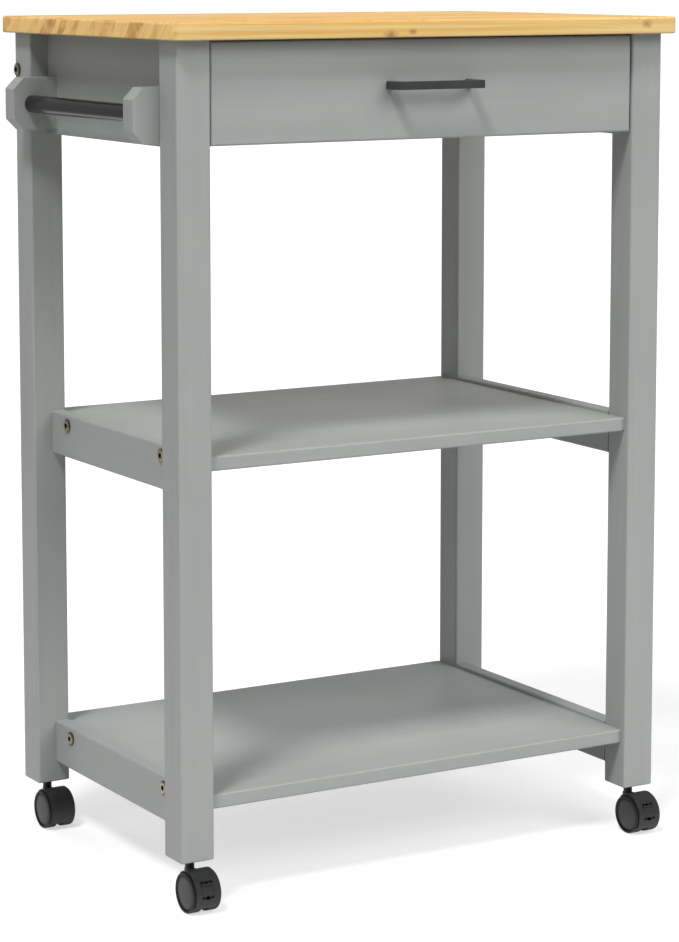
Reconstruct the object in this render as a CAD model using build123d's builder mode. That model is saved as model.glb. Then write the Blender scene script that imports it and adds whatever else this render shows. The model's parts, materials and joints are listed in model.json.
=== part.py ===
from build123d import *
import os
from math import sqrt

os.makedirs("parts", exist_ok=True)

# Kitchen island cart: a painted frame on four casters, a glued pine worktop, two fixed
# shelves, a drawer on roller slides and a towel rail on the left side.
# Millimetres, +Z up, the drawer faces -Y, the floor is Z = 0.

# ---------------------------------------------------------------- driving dimensions
cart_height = 900
top_thickness = 18
frame_width = 588            # outside the legs, along X
frame_depth = 383            # outside the legs, along Y
leg_side = 38
caster_height = 51           # floor to the foot of a leg
overhang_side = 10
overhang_front = 16
overhang_back = 15

side_inset = 22              # side rails stand back this far from the legs' outer faces
rail_thickness = 16
rail_height = 47
rail_lip = 4                 # rail top above the shelf surface
apron_height = 109
back_apron_thickness = 15
shelf_thickness = 15
shelf_setback = 7.5          # shelf front edge behind the legs' front faces
shelf_tail = 3               # shelf back edge past the legs' back faces
shelf_tops = {"middle": 465, "bottom": 116}
shelf_bolt_insets = (73, 80)  # bolts in from the shelf's front and back edges

bracket_reach = 51           # towel bracket, out from the side apron
bracket_width = 22
bracket_height = 56
bracket_chamfer = 12
bracket_bottom = 779
bar_radius = 9.5
bar_wall = 1.2
bar_inset = 22.5             # bar centre in from the bracket's outer face
bar_socket = 10

drawer_front_thickness = 15
drawer_front_setback = 2
drawer_front_bottom = 777
drawer_top_gap = 1.5
drawer_side_gap = 1.25
drawer_length = 300
drawer_wall = 12
drawer_wall_height = 76
drawer_groove = 5
drawer_panel = 4
handle_spacing = 96
handle_bar = 8
handle_bar_height = 8.5
handle_reach = 26
handle_height = 833.3

slide_gap = 12.5             # side apron to drawer side
slide_bottom = 776
slide_length = 300
steel = 1.2
roller_radius = 5.5

wheel_radius = 21
wheel_width = 12
caster_half_width = 16
caster_trail = 18.8          # axle in front of the stem
hood_gap = 0.4
hood_wall = 1.1
stem_radius = 4

dowel_radius = 4
dowel_length = 30
bolt_radius = 3
bolt_length = 70
bolt_head_radius = 7.2
bolt_head_height = 2.4
nut_radius = 5
nut_length = 10
nut_from_head = 60           # bolt head to the cross nut's centre
screw_radius = 1.75
screw_length = 14
screw_head_radius = 3.3
screw_head_height = 1.5
slip = 0.05                  # radial play round dowels, bolts and running shafts

# ---------------------------------------------------------------- derived positions
# The origin is on the floor under the middle of the whole cart, so the leg frame stands
# a little right of it (the towel rail sticks out left) and behind it (the handle, front).
reach_left = frame_width / 2 - side_inset + bracket_reach
reach_right = frame_width / 2 + overhang_side
reach_front = frame_depth / 2 - drawer_front_setback + handle_reach
reach_back = frame_depth / 2 + overhang_back
mid_x = (reach_left - reach_right) / 2
mid_y = (reach_front - reach_back) / 2

leg_top = cart_height - top_thickness
front_y = mid_y - frame_depth / 2
back_y = mid_y + frame_depth / 2
rail_half = frame_depth / 2 - leg_side
inner_x = frame_width / 2 - leg_side          # from mid_x to the legs' inner faces
rail_x = inner_x + rail_thickness / 2         # from mid_x to a side rail's middle plane
leg_centre_x = frame_width / 2 - leg_side / 2
leg_centre_y = frame_depth / 2 - leg_side / 2
apron_bottom = leg_top - apron_height

dowel_heights = [leg_top - 25, leg_top - 68]  # in the side aprons
for shelf_top in shelf_tops.values():
    rail_middle = shelf_top + rail_lip - rail_height / 2
    dowel_heights += [rail_middle - 12, rail_middle + 12]

shelf_front_y = front_y + shelf_setback
shelf_back_y = back_y + shelf_tail
shelf_mid_y = (shelf_front_y + shelf_back_y) / 2
shelf_bolt_ys = [shelf_front_y + shelf_bolt_insets[0], shelf_back_y - shelf_bolt_insets[1]]
back_apron_y = back_y - back_apron_thickness / 2
back_bolt_heights = [leg_top - 40, leg_top - 80]

drawer_front_y = front_y + drawer_front_setback
drawer_box_y = drawer_front_y + drawer_front_thickness
drawer_back_y = drawer_box_y + drawer_length
drawer_outer = inner_x - slide_gap
drawer_inner = drawer_outer - drawer_wall
drawer_bottom_z = slide_bottom + 14
drawer_top_z = drawer_bottom_z + drawer_wall_height
panel_z = drawer_bottom_z + 7
drawer_dowel_heights = [drawer_bottom_z + 25, drawer_bottom_z + 60]

bracket_mid_z = bracket_bottom + bracket_height / 2
bracket_dowel_heights = [bracket_mid_z - 5, bracket_mid_z + 19]
bracket_dowel_inset = 6.5                     # from the leg to the bracket's dowels
apron_face = -frame_width / 2 + side_inset    # left apron's outer face, from mid_x
bar_x = mid_x + apron_face - bracket_reach + bar_inset

SIDES = {"left": -1, "right": 1}
ENDS = {"front": -1, "back": 1}


def save(piece, name):
    """Names a finished piece and writes it to its own file."""
    piece.part.label = name
    export_step(piece.part, f"parts/{name}.step")


def facing_x(x, y, z):
    """A plane whose normal is +X, with its sketch axes along +Y and +Z."""
    return Plane((x, y, z), x_dir=(0, 1, 0), z_dir=(1, 0, 0))


def facing_y(x, y, z):
    """A plane whose normal is -Y, with its sketch axes along +X and +Z."""
    return Plane((x, y, z), x_dir=(1, 0, 0), z_dir=(0, -1, 0))


def slab(low, high):
    """A private rectangular block between two corners."""
    size = [high[i] - low[i] for i in range(3)]
    with BuildPart(mode=Mode.PRIVATE) as block:
        with BuildSketch(Plane(((low[0] + high[0]) / 2, (low[1] + high[1]) / 2, low[2]))):
            Rectangle(size[0], size[1])
        extrude(amount=size[2])
    return block.part


def rod(radius, start, direction, length):
    """A private round bar from a point along a direction."""
    with BuildPart(mode=Mode.PRIVATE) as bar:
        with BuildSketch(Plane(start, z_dir=direction)):
            Circle(radius)
        extrude(amount=length)
    return bar.part


# ---------------------------------------------------------------- worktop
with BuildPart() as tabletop:
    with BuildSketch(Plane((mid_x, (front_y - overhang_front + back_y + overhang_back) / 2, leg_top))):
        Rectangle(
            frame_width + 2 * overhang_side, frame_depth + overhang_front + overhang_back
        )
    extrude(amount=top_thickness)
    fillet(tabletop.edges().filter_by(Axis.Z), radius=8)
    fillet(tabletop.faces().sort_by(Axis.Z)[-1].edges(), radius=3)
    fillet(tabletop.faces().sort_by(Axis.Z)[0].edges(), radius=2)
    for side in SIDES.values():
        for y in (mid_y - 100, mid_y + 100):
            x = mid_x + side * (inner_x - 15)
            add(rod(screw_radius, (x, y, leg_top), (0, 0, 1), screw_length), mode=Mode.SUBTRACT)
save(tabletop, "tabletop")


# ---------------------------------------------------------------- legs
def make_leg(end, side, name):
    """A square leg: caster socket hole below, dowel holes inside, bolt holes at the back."""
    x = mid_x + side * leg_centre_x
    y = mid_y + end * leg_centre_y
    with BuildPart() as leg:
        with BuildSketch(Plane((x, y, caster_height))):
            Rectangle(leg_side, leg_side)
        extrude(amount=leg_top - caster_height)
        fillet(leg.edges().filter_by(Axis.Z), radius=2.5)
        chamfer(leg.faces().sort_by(Axis.Z)[0].edges(), length=1)
        with Locations(Plane((x, y, caster_height), z_dir=(0, 0, -1))):
            Hole(radius=5.5 + slip, depth=38)
        inner_face = (mid_x + side * rail_x, y - end * leg_side / 2, 0)
        for height in dowel_heights:
            place = Plane((inner_face[0], inner_face[1], height), z_dir=(0, -end, 0))
            with Locations(place):
                Hole(radius=dowel_radius + slip, depth=dowel_length / 2)
        if end > 0:
            for height in back_bolt_heights:
                place = Plane((x + side * leg_side / 2, back_apron_y, height), z_dir=(side, 0, 0))
                with Locations(place):
                    Hole(radius=bolt_radius + slip, depth=leg_side)
    save(leg, name)


for end_name, end in ENDS.items():
    for side_name, side in SIDES.items():
        make_leg(end, side, f"leg_{end_name}_{side_name}")


# ---------------------------------------------------------------- aprons and side rails
def make_side_apron(side, name):
    """The deep rail under the worktop; it carries a drawer slide on its inner face."""
    inner = mid_x + side * inner_x
    with BuildPart() as apron:
        with BuildSketch(Plane((mid_x + side * rail_x, mid_y, apron_bottom))):
            Rectangle(rail_thickness, 2 * rail_half)
        extrude(amount=apron_height)
        fillet(apron.faces().sort_by(Axis.Z)[0].edges().filter_by(Axis.Y), radius=1.5)
        for end in ENDS.values():
            for height in dowel_heights[:2]:
                place = Plane((mid_x + side * rail_x, mid_y + end * rail_half, height), z_dir=(0, end, 0))
                with Locations(place):
                    Hole(radius=dowel_radius + slip, depth=dowel_length / 2)
        for y in slide_screw_ys:
            with Locations(Plane((inner, y, slide_bottom + 8), z_dir=(-side, 0, 0))):
                Hole(radius=screw_radius, depth=screw_length - steel)
        for y in (mid_y - 100, mid_y + 100):
            with Locations(Plane((inner, y, leg_top - 16), z_dir=(-side, 0, 0))):
                Hole(radius=screw_radius, depth=screw_length - 2)
        if side < 0:
            for y in bracket_dowel_ys:
                for height in bracket_dowel_heights:
                    with Locations(Plane((mid_x + apron_face, y, height), z_dir=(-1, 0, 0))):
                        Hole(radius=dowel_radius + slip, depth=12)
    save(apron, name)


slide_front_y = drawer_box_y + 8.5
slide_screw_ys = [slide_front_y + 40, slide_front_y + 150, slide_front_y + 260]
bracket_dowel_ys = [mid_y + end * (rail_half - bracket_dowel_inset) for end in ENDS.values()]
for side_name, side in SIDES.items():
    make_side_apron(side, f"side_apron_{side_name}")

with BuildPart() as back_apron:
    with BuildSketch(Plane((mid_x, back_apron_y, apron_bottom))):
        Rectangle(2 * inner_x, back_apron_thickness)
    extrude(amount=apron_height)
    fillet(back_apron.faces().sort_by(Axis.Z)[0].edges().filter_by(Axis.X), radius=1.5)
    for side in SIDES.values():
        for height in back_bolt_heights:
            with Locations(Plane((mid_x + side * inner_x, back_apron_y, height), z_dir=(side, 0, 0))):
                Hole(radius=bolt_radius + slip, depth=bolt_length - leg_side)
            nut_x = mid_x + side * (frame_width / 2 - nut_from_head)
            nut_face = back_apron_y - back_apron_thickness / 2
            with Locations(Plane((nut_x, nut_face, height), z_dir=(0, -1, 0))):
                Hole(radius=nut_radius + slip, depth=(back_apron_thickness + nut_length) / 2 + 0.3)
save(back_apron, "back_apron")


def make_shelf_rail(side, shelf_top, name):
    """A side rail that ties two legs and carries the end of a shelf."""
    with BuildPart() as rail:
        with BuildSketch(Plane((mid_x + side * rail_x, mid_y, shelf_top + rail_lip - rail_height))):
            Rectangle(rail_thickness, 2 * rail_half)
        extrude(amount=rail_height)
        fillet(rail.edges().filter_by(Axis.Y), radius=2)
        rail_middle = shelf_top + rail_lip - rail_height / 2
        for end in ENDS.values():
            for height in (rail_middle - 12, rail_middle + 12):
                place = Plane((mid_x + side * rail_x, mid_y + end * rail_half, height), z_dir=(0, end, 0))
                with Locations(place):
                    Hole(radius=dowel_radius + slip, depth=dowel_length / 2)
        for y in shelf_bolt_ys:
            face = mid_x + side * (inner_x + rail_thickness)
            with Locations(Plane((face, y, shelf_top - shelf_thickness / 2), z_dir=(side, 0, 0))):
                Hole(radius=bolt_radius + slip, depth=rail_thickness)
    save(rail, name)


for level, shelf_top in shelf_tops.items():
    for side_name, side in SIDES.items():
        make_shelf_rail(side, shelf_top, f"shelf_rail_{level}_{side_name}")


# ---------------------------------------------------------------- shelves
def make_shelf(shelf_top, name):
    """A board between the legs, bored at both ends for the bolts and their cross nuts."""
    bolt_z = shelf_top - shelf_thickness / 2
    with BuildPart() as shelf:
        with BuildSketch(Plane((mid_x, shelf_mid_y, shelf_top - shelf_thickness))):
            Rectangle(2 * inner_x, shelf_back_y - shelf_front_y)
        extrude(amount=shelf_thickness)
        fillet(shelf.edges().filter_by(Axis.X), radius=2)
        for side in SIDES.values():
            for y in shelf_bolt_ys:
                with Locations(Plane((mid_x + side * inner_x, y, bolt_z), z_dir=(side, 0, 0))):
                    Hole(radius=bolt_radius + slip, depth=bolt_length - rail_thickness)
                nut_x = mid_x + side * (inner_x + rail_thickness - nut_from_head)
                underside = shelf_top - shelf_thickness
                with Locations(Plane((nut_x, y, underside), z_dir=(0, 0, -1))):
                    Hole(radius=nut_radius + slip, depth=(shelf_thickness + nut_length) / 2 + 0.3)
    save(shelf, name)


for level, shelf_top in shelf_tops.items():
    make_shelf(shelf_top, f"{level}_shelf")

# ---------------------------------------------------------------- dowels, bolts, cross nuts
with BuildPart() as frame_dowels:
    for side in SIDES.values():
        for end in ENDS.values():
            for height in dowel_heights:
                joint_y = mid_y + end * rail_half
                start = (mid_x + side * rail_x, joint_y - dowel_length / 2, height)
                add(rod(dowel_radius, start, (0, 1, 0), dowel_length))
    for y in bracket_dowel_ys:
        for height in bracket_dowel_heights:
            start = (mid_x + apron_face + 12, y, height)
            add(rod(dowel_radius, start, (-1, 0, 0), dowel_length))
save(frame_dowels, "frame_dowels")


def connector_bolt(head_face, direction):
    """A flat-headed furniture bolt: bevelled head with a hexagon socket, plain shank."""
    with BuildPart(mode=Mode.PRIVATE) as bolt:
        base = Plane(head_face, z_dir=direction)
        with BuildSketch(base):
            Circle(bolt_head_radius)
        extrude(amount=-bolt_head_height)
        outer_rim = bolt.faces().sort_by(Axis(head_face, direction))[0].edges()
        chamfer(outer_rim, length=0.9, length2=1.6)
        with BuildSketch(base):
            Circle(bolt_radius)
        extrude(amount=bolt_length)
        with BuildSketch(base.offset(-bolt_head_height)):
            RegularPolygon(radius=2.75, side_count=6)
        extrude(amount=2.2, mode=Mode.SUBTRACT)
    return bolt.part


with BuildPart() as connector_bolts:
    for side in SIDES.values():
        for shelf_top in shelf_tops.values():
            for y in shelf_bolt_ys:
                face = (mid_x + side * (inner_x + rail_thickness), y, shelf_top - shelf_thickness / 2)
                add(connector_bolt(face, (-side, 0, 0)))
        for height in back_bolt_heights:
            face = (mid_x + side * frame_width / 2, back_apron_y, height)
            add(connector_bolt(face, (-side, 0, 0)))
save(connector_bolts, "connector_bolts")


def cross_nut(start, direction):
    """A barrel nut, drilled across its middle for the bolt that runs along X."""
    middle = [start[i] + direction[i] * nut_length / 2 for i in range(3)]
    with BuildPart(mode=Mode.PRIVATE) as nut:
        with BuildSketch(Plane(start, z_dir=direction)):
            Circle(nut_radius)
        extrude(amount=nut_length)
        with BuildSketch(facing_x(*middle)):
            Circle(bolt_radius + slip)
        extrude(amount=2 * nut_radius, both=True, mode=Mode.SUBTRACT)
    return nut.part


with BuildPart() as barrel_nuts:
    for side in SIDES.values():
        for shelf_top in shelf_tops.values():
            for y in shelf_bolt_ys:
                nut_x = mid_x + side * (inner_x + rail_thickness - nut_from_head)
                low = shelf_top - shelf_thickness / 2 - nut_length / 2
                add(cross_nut((nut_x, y, low), (0, 0, 1)))
        for height in back_bolt_heights:
            nut_x = mid_x + side * (frame_width / 2 - nut_from_head)
            add(cross_nut((nut_x, back_apron_y - nut_length / 2, height), (0, 1, 0)))
save(barrel_nuts, "barrel_nuts")

# ---------------------------------------------------------------- worktop angle brackets
bracket_leaf = 25
bracket_plate = 2
bracket_breadth = 16
with BuildPart() as top_brackets:
    for side in SIDES.values():
        for y in (mid_y - 100, mid_y + 100):
            wall = mid_x + side * inner_x
            leaf_end = wall - side * bracket_leaf
            plate_end = wall - side * bracket_plate
            y_low = y - bracket_breadth / 2
            y_high = y + bracket_breadth / 2
            add(slab(
                (min(wall, leaf_end), y_low, leg_top - bracket_plate),
                (max(wall, leaf_end), y_high, leg_top),
            ))
            add(slab(
                (min(wall, plate_end), y_low, leg_top - bracket_leaf),
                (max(wall, plate_end), y_high, leg_top),
            ))
            upright = (wall - side * (bracket_plate + 1), y, leg_top - 16)
            flat = (wall - side * 15, y, leg_top - bracket_plate - 1)
            add(rod(screw_radius + slip, upright, (side, 0, 0), 4), mode=Mode.SUBTRACT)
            add(rod(screw_radius + slip, flat, (0, 0, 1), 4), mode=Mode.SUBTRACT)
save(top_brackets, "top_brackets")


def wood_screw(seat, direction, length):
    """A pan-head wood screw seated at a point and driven along a direction."""
    with BuildPart(mode=Mode.PRIVATE) as screw:
        base = Plane(seat, z_dir=direction)
        with BuildSketch(base):
            Circle(screw_radius - slip)
        extrude(amount=length - 3)
        tip = screw.faces().sort_by(Axis(seat, direction))[-1]
        with BuildSketch(Plane(tip.center(), z_dir=direction)):
            Circle(screw_radius - slip)
        extrude(amount=2.5, taper=28)
        with BuildSketch(base):
            Circle(screw_head_radius)
        extrude(amount=-screw_head_height)
        fillet(screw.faces().sort_by(Axis(seat, direction))[0].edges(), radius=0.9)
        with BuildSketch(base.offset(-screw_head_height)):
            Rectangle(3.2, 0.7)
            Rectangle(0.7, 3.2)
        extrude(amount=0.9, mode=Mode.SUBTRACT)
    return screw.part


with BuildPart() as frame_screws:
    for side in SIDES.values():
        wall = mid_x + side * inner_x
        for y in slide_screw_ys:
            add(wood_screw((wall - side * steel, y, slide_bottom + 8), (side, 0, 0), screw_length))
        for y in (mid_y - 100, mid_y + 100):
            add(wood_screw((wall - side * bracket_plate, y, leg_top - 16), (side, 0, 0), screw_length))
            add(wood_screw((wall - side * 15, y, leg_top - bracket_plate), (0, 0, 1), screw_length))
save(frame_screws, "frame_screws")


# ---------------------------------------------------------------- towel rail
def make_towel_bracket(end, name):
    """A wooden block on the left apron, hard against a leg, with the bar's blind socket."""
    leg_face_y = mid_y + end * rail_half
    outer = bracket_reach
    with BuildPart() as block:
        with BuildSketch(facing_y(mid_x + apron_face, leg_face_y, bracket_bottom)):
            with BuildLine():
                Polyline(
                    (0, 0),
                    (-outer + bracket_chamfer, 0),
                    (-outer, bracket_chamfer),
                    (-outer, bracket_height - bracket_chamfer),
                    (-outer + bracket_chamfer, bracket_height),
                    (0, bracket_height),
                    close=True,
                )
            make_face()
        extrude(amount=end * bracket_width)
        fillet(block.faces().sort_by(Axis.X)[0].edges(), radius=1)
        socket_face = (bar_x, leg_face_y - end * bracket_width, bracket_mid_z)
        with Locations(Plane(socket_face, z_dir=(0, -end, 0))):
            Hole(radius=bar_radius + slip, depth=bar_socket)
        for height in bracket_dowel_heights:
            place = (mid_x + apron_face, leg_face_y - end * bracket_dowel_inset, height)
            with Locations(Plane(place, z_dir=(1, 0, 0))):
                Hole(radius=dowel_radius + slip, depth=dowel_length - 12)
    save(block, name)


for end_name, end in ENDS.items():
    make_towel_bracket(end, f"towel_bracket_{end_name}")

bar_half = rail_half - bracket_width + bar_socket - 0.5
with BuildPart() as towel_bar:
    with BuildSketch(facing_y(bar_x, mid_y, bracket_mid_z)):
        Circle(bar_radius)
        Circle(bar_radius - bar_wall, mode=Mode.SUBTRACT)
    extrude(amount=bar_half, both=True)
save(towel_bar, "towel_bar")

# ---------------------------------------------------------------- drawer box
front_half = inner_x - drawer_side_gap
front_top = leg_top - drawer_top_gap
with BuildPart() as drawer_front:
    with BuildSketch(facing_y(mid_x, drawer_box_y, (drawer_front_bottom + front_top) / 2)):
        Rectangle(2 * front_half, front_top - drawer_front_bottom)
    extrude(amount=drawer_front_thickness)
    fillet(drawer_front.faces().sort_by(Axis.Y)[0].edges(), radius=2.5)
    for side in SIDES.values():
        screw_place = (mid_x + side * handle_spacing / 2, drawer_box_y, handle_height)
        with Locations(Plane(screw_place, z_dir=(0, 1, 0))):
            Hole(radius=2 + slip, depth=drawer_front_thickness)
        for height in drawer_dowel_heights:
            place = (mid_x + side * (drawer_outer - drawer_wall / 2), drawer_box_y, height)
            with Locations(Plane(place, z_dir=(0, 1, 0))):
                Hole(radius=3 + slip, depth=10)
    groove = slab(
        (mid_x - drawer_inner - drawer_groove, drawer_box_y - drawer_groove, panel_z),
        (mid_x + drawer_inner + drawer_groove, drawer_box_y, panel_z + drawer_panel),
    )
    add(groove, mode=Mode.SUBTRACT)
save(drawer_front, "drawer_front")


def make_drawer_side(side, name):
    """A drawer side with the bottom panel's groove along its inner face."""
    with BuildPart() as wall:
        with BuildSketch(Plane((mid_x + side * (drawer_outer - drawer_wall / 2),
                                drawer_box_y + drawer_length / 2, drawer_bottom_z))):
            Rectangle(drawer_wall, drawer_length)
        extrude(amount=drawer_wall_height)
        fillet(wall.faces().sort_by(Axis.Z)[-1].edges().filter_by(Axis.Y), radius=2)
        edges_x = sorted([side * drawer_inner, side * (drawer_inner + drawer_groove)])
        groove = slab(
            (mid_x + edges_x[0], drawer_box_y, panel_z),
            (mid_x + edges_x[1], drawer_back_y, panel_z + drawer_panel),
        )
        add(groove, mode=Mode.SUBTRACT)
        for height in drawer_dowel_heights:
            front_end = (mid_x + side * (drawer_outer - drawer_wall / 2), drawer_box_y, height)
            with Locations(Plane(front_end, z_dir=(0, -1, 0))):
                Hole(radius=3 + slip, depth=14)
            back_joint = (mid_x + side * drawer_inner, drawer_back_y - drawer_wall / 2, height)
            with Locations(Plane(back_joint, z_dir=(-side, 0, 0))):
                Hole(radius=3 + slip, depth=8)
        for y in runner_screw_ys:
            outside = (mid_x + side * drawer_outer, y, slide_bottom + 18)
            with Locations(Plane(outside, z_dir=(side, 0, 0))):
                Hole(radius=screw_radius, depth=runner_screw_length - steel)
    save(wall, name)


runner_screw_ys = [drawer_box_y + 35, drawer_box_y + 155, drawer_box_y + 265]
runner_screw_length = 9
for side_name, side in SIDES.items():
    make_drawer_side(side, f"drawer_side_{side_name}")

with BuildPart() as drawer_back:
    with BuildSketch(Plane((mid_x, drawer_back_y - drawer_wall / 2, panel_z + drawer_panel))):
        Rectangle(2 * drawer_inner, drawer_wall)
    extrude(amount=drawer_top_z - panel_z - drawer_panel)
    fillet(drawer_back.faces().sort_by(Axis.Z)[-1].edges().filter_by(Axis.X), radius=2)
    for side in SIDES.values():
        for height in drawer_dowel_heights:
            joint = (mid_x + side * drawer_inner, drawer_back_y - drawer_wall / 2, height)
            with Locations(Plane(joint, z_dir=(side, 0, 0))):
                Hole(radius=3 + slip, depth=16)
save(drawer_back, "drawer_back")

panel_slack = 0.5
with BuildPart() as drawer_bottom:
    panel_front_y = drawer_box_y - drawer_groove + panel_slack
    with BuildSketch(Plane((mid_x, (panel_front_y + drawer_back_y) / 2, panel_z))):
        Rectangle(2 * (drawer_inner + drawer_groove - panel_slack), drawer_back_y - panel_front_y)
    extrude(amount=drawer_panel)
save(drawer_bottom, "drawer_bottom")

with BuildPart() as drawer_dowels:
    for side in SIDES.values():
        for height in drawer_dowel_heights:
            front_x = mid_x + side * (drawer_outer - drawer_wall / 2)
            add(rod(3, (front_x, drawer_box_y - 10, height), (0, 1, 0), 24))
            back_start = (mid_x + side * (drawer_inner + 8), drawer_back_y - drawer_wall / 2, height)
            add(rod(3, back_start, (-side, 0, 0), 24))
save(drawer_dowels, "drawer_dowels")

# ---------------------------------------------------------------- handle and its screws
with BuildPart() as drawer_handle:
    half = handle_spacing / 2 + handle_bar / 2
    with BuildSketch(Plane((mid_x, drawer_front_y, handle_height - handle_bar_height / 2))):
        with BuildLine():
            Polyline(
                (-half, 0),
                (-half, -handle_reach),
                (half, -handle_reach),
                (half, 0),
                (half - handle_bar, 0),
                (half - handle_bar, -handle_reach + handle_bar),
                (-half + handle_bar, -handle_reach + handle_bar),
                (-half + handle_bar, 0),
                close=True,
            )
        make_face()
    extrude(amount=handle_bar_height)
    fillet(drawer_handle.edges().filter_by(Axis.Z).sort_by(Axis.Y)[:4], radius=1)
    fillet(drawer_handle.faces().sort_by(Axis.Y)[0].edges().filter_by(Axis.X), radius=0.8)
    for side in SIDES.values():
        foot = (mid_x + side * handle_spacing / 2, drawer_front_y, handle_height)
        with Locations(Plane(foot, z_dir=(0, 1, 0))):
            Hole(radius=2 + slip, depth=12)
save(drawer_handle, "drawer_handle")

with BuildPart() as handle_screws:
    for side in SIDES.values():
        seat = (mid_x + side * handle_spacing / 2, drawer_box_y, handle_height)
        add(rod(2, seat, (0, -1, 0), 25))
        head = rod(4, seat, (0, 1, 0), 2.4)
        add(head)
        slot = slab(
            (seat[0] - 3, seat[1] + 1.4, seat[2] - 0.5), (seat[0] + 3, seat[1] + 3, seat[2] + 0.5)
        )
        add(slot, mode=Mode.SUBTRACT)
save(handle_screws, "handle_screws")

# ---------------------------------------------------------------- drawer slides
# Distances called "in" run from the side apron's inner face towards the drawer.
roller_z = slide_bottom + steel + 0.3 + roller_radius
runner_flange_z = slide_bottom + 12.8
cabinet_roller_y = slide_front_y + 8
drawer_roller_y = drawer_box_y + 292
slide_back_y = slide_front_y + slide_length


def between(side, near, far, y_low, y_high, z_low, z_high):
    """A block that spans two distances in from a side apron's inner face."""
    xs = sorted([mid_x + side * (inner_x - near), mid_x + side * (inner_x - far)])
    return slab((xs[0], y_low, z_low), (xs[1], y_high, z_high))


def stud(side, near, far, radius, y):
    """A round stud along X between two distances in from the apron's inner face."""
    start = (mid_x + side * (inner_x - near), y, roller_z)
    return rod(radius, start, (-side, 0, 0), far - near)


def make_cabinet_slide(side, name):
    """The fixed channel on the apron, with the roller's stud riveted at its front end."""
    low, high = slide_bottom, slide_bottom + 17
    with BuildPart() as channel:
        add(between(side, 0, steel, slide_front_y, slide_back_y, low, high))
        add(between(side, 0, 10.4, slide_front_y, slide_back_y, low, low + steel))
        add(between(side, 0, 6, slide_front_y + 20, slide_back_y, high - steel, high))
        add(between(side, 0, 10.4, slide_back_y - steel, slide_back_y, low, high))
        for y in slide_screw_ys:
            start = (mid_x + side * (inner_x + 1), y, slide_bottom + 8)
            add(rod(screw_radius + slip, start, (-side, 0, 0), 4), mode=Mode.SUBTRACT)
        add(stud(side, 0.5, 10.2, 1.5, cabinet_roller_y))
        add(stud(side, 9.4, 10.2, 2.6, cabinet_roller_y))
    save(channel, name)


def make_drawer_runner(side, name):
    """The angle under a drawer side, with the rear roller's stud on a tab below it."""
    flange_top = runner_flange_z + steel
    plate_in = slide_gap - steel
    front, back = drawer_box_y + 0.5, drawer_box_y + slide_length
    with BuildPart() as runner:
        add(between(side, 3, slide_gap + 8, front, back, runner_flange_z, flange_top))
        add(between(side, plate_in, slide_gap, front, back, runner_flange_z, slide_bottom + 25))
        tab_front, tab_back = drawer_roller_y - 8, drawer_roller_y + 8
        add(between(side, plate_in, slide_gap, tab_front, tab_back, slide_bottom + 3, flange_top))
        for y in runner_screw_ys:
            start = (mid_x + side * (drawer_outer - 1), y, slide_bottom + 18)
            add(rod(screw_radius + slip, start, (side, 0, 0), 4), mode=Mode.SUBTRACT)
        add(stud(side, 3, plate_in + 0.5, 1.5, drawer_roller_y))
        add(stud(side, 3, 3.7, 2.4, drawer_roller_y))
    save(runner, name)


for side_name, side in SIDES.items():
    make_cabinet_slide(side, f"cabinet_slide_{side_name}")
    make_drawer_runner(side, f"drawer_runner_{side_name}")

with BuildPart() as cabinet_rollers:
    for side in SIDES.values():
        add(stud(side, 2.2, 9.0, roller_radius, cabinet_roller_y))
        add(stud(side, 1.5, 11, 1.5 + slip, cabinet_roller_y), mode=Mode.SUBTRACT)
save(cabinet_rollers, "cabinet_rollers")

with BuildPart() as drawer_rollers:
    for side in SIDES.values():
        add(stud(side, 4.0, 10.6, roller_radius, drawer_roller_y))
        add(stud(side, 2, 12, 1.5 + slip, drawer_roller_y), mode=Mode.SUBTRACT)
save(drawer_rollers, "drawer_rollers")

with BuildPart() as drawer_screws:
    for side in SIDES.values():
        for y in runner_screw_ys:
            seat = (mid_x + side * (inner_x - slide_gap + steel), y, slide_bottom + 18)
            add(wood_screw(seat, (-side, 0, 0), runner_screw_length))
save(drawer_screws, "drawer_screws")

# ---------------------------------------------------------------- casters
flange_height = 2.2
hood_inner = wheel_radius + hood_gap
hood_outer = hood_inner + hood_wall
hood_half = caster_half_width - 2.6
web_half = caster_half_width - wheel_width - 0.4
hood_back_angle = 50          # all caster angles run from +Y up over the wheel to -Y
hood_front_angle = 215
axle_radius = 2.5
boss_radius = 4.85
boss_bottom = 16.5            # above the axle
stem_bottom = 19.6            # above the axle
boss_top = caster_height - flange_height - 0.3
lever_pivot = (-15.5, -1.0)   # from the axle, towards +Y and +Z
lever_half = 6.8
lever_top_angle = 147
lever_bottom_angle = 179

with BuildPart() as caster_sockets:
    for side in SIDES.values():
        for end in ENDS.values():
            base = (mid_x + side * leg_centre_x, mid_y + end * leg_centre_y, caster_height)
            add(rod(5.5, base, (0, 0, 1), 37))
            add(rod(6.6, base, (0, 0, -1), flange_height))
            below = (base[0], base[1], caster_height - 3)
            add(rod(stem_radius + slip, below, (0, 0, 1), 39), mode=Mode.SUBTRACT)
save(caster_sockets, "caster_sockets")


def ring_sector(x, y, z, inner, outer, start, end, half_width):
    """A private arc-shaped block round the axle, symmetrical about the caster's middle."""
    with BuildPart(mode=Mode.PRIVATE) as sector:
        with BuildSketch(facing_x(x, y, z)):
            with BuildLine():
                far = CenterArc((0, 0), outer, start, end - start)
                near = CenterArc((0, 0), inner, start, end - start)
                Line(far @ 0, near @ 0)
                Line(far @ 1, near @ 1)
            make_face()
        extrude(amount=half_width, both=True)
    return sector.part


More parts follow.
